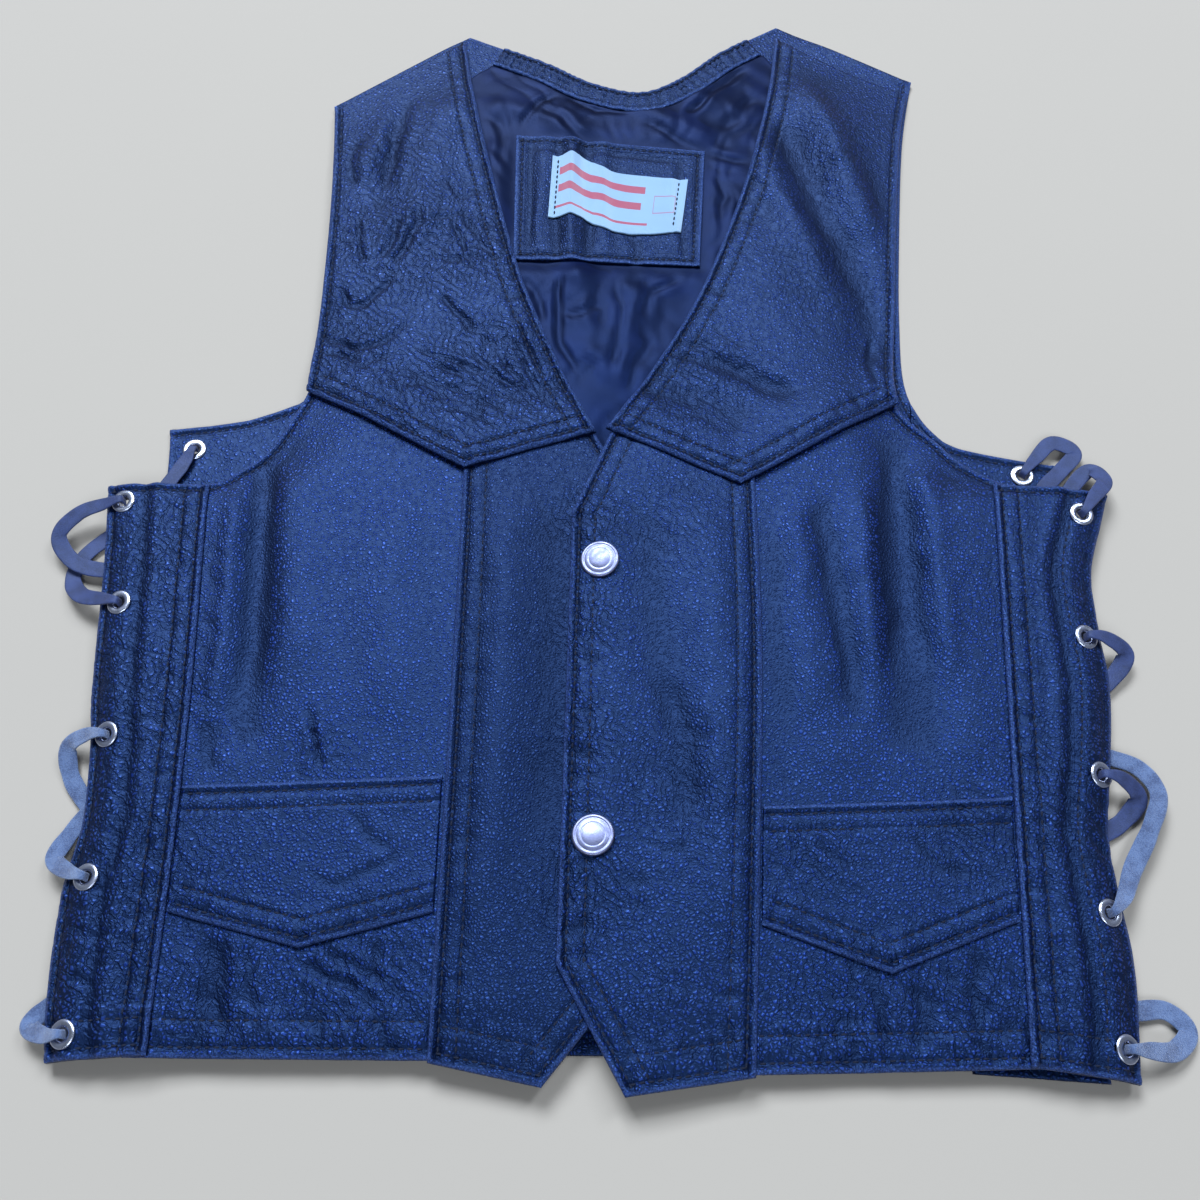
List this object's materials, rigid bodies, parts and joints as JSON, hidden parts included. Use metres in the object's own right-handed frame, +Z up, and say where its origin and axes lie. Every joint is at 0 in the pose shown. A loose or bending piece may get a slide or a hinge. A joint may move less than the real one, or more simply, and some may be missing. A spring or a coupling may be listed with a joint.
{
  "type": "leather vest lying flat",
  "caption": "Western style leather vest laid flat, pointed yokes, snap front, pointed pocket flaps, lacing through eyelets down both sides.",
  "frame": {"origin": "a point on the back panel's flat underside, near the middle of the body, where it lies on the table", "axes": "+X towards the viewer's right, +Y towards the collar, +Z up from the table, out of the fronts"},
  "size_m": [0.5426, 0.6417, 0.0174],
  "materials": {
    "leather": "pebbled black leather with a blue cast, semi-gloss",
    "lining": "dark satin lining",
    "label": "pale woven satin",
    "lace": "flat suede-backed lace",
    "nickel": "bright nickel plate"
  },
  "bodies": {
    "root": {"back": "leather", "back_band_left": "leather", "back_band_right": "leather", "back_eyelet_left_1": "nickel", "back_eyelet_left_2": "nickel", "back_eyelet_left_3": "nickel", "back_eyelet_left_4": "nickel", "back_eyelet_left_5": "nickel", "back_eyelet_right_1": "nickel", "back_eyelet_right_2": "nickel", "back_eyelet_right_3": "nickel", "back_eyelet_right_4": "nickel", "back_eyelet_right_5": "nickel", "back_lining": "lining", "front_band_left": "leather", "front_band_right": "leather", "front_centre_left": "leather", "front_centre_right": "leather", "front_eyelet_left_1": "nickel", "front_eyelet_left_2": "nickel", "front_eyelet_left_3": "nickel", "front_eyelet_left_4": "nickel", "front_eyelet_left_5": "nickel", "front_eyelet_right_1": "nickel", "front_eyelet_right_2": "nickel", "front_eyelet_right_3": "nickel", "front_eyelet_right_4": "nickel", "front_eyelet_right_5": "nickel", "front_side_left": "leather", "front_side_right": "leather", "lace_left_1": "lace", "lace_left_2": "lace", "lace_left_3": "lace", "lace_left_4": "lace", "lace_left_5": "lace", "lace_right_1": "lace", "lace_right_2": "lace", "lace_right_3": "lace", "lace_right_4": "lace", "lace_right_5": "lace", "lace_right_6": "lace", "neck_facing": "leather", "neck_label": "label", "neck_patch": "leather", "pocket_flap_left": "leather", "pocket_flap_right": "leather", "snap_cap_1": "nickel", "snap_cap_2": "nickel", "yoke_left": "leather", "yoke_right": "leather"}
  },
  "joints": []
}
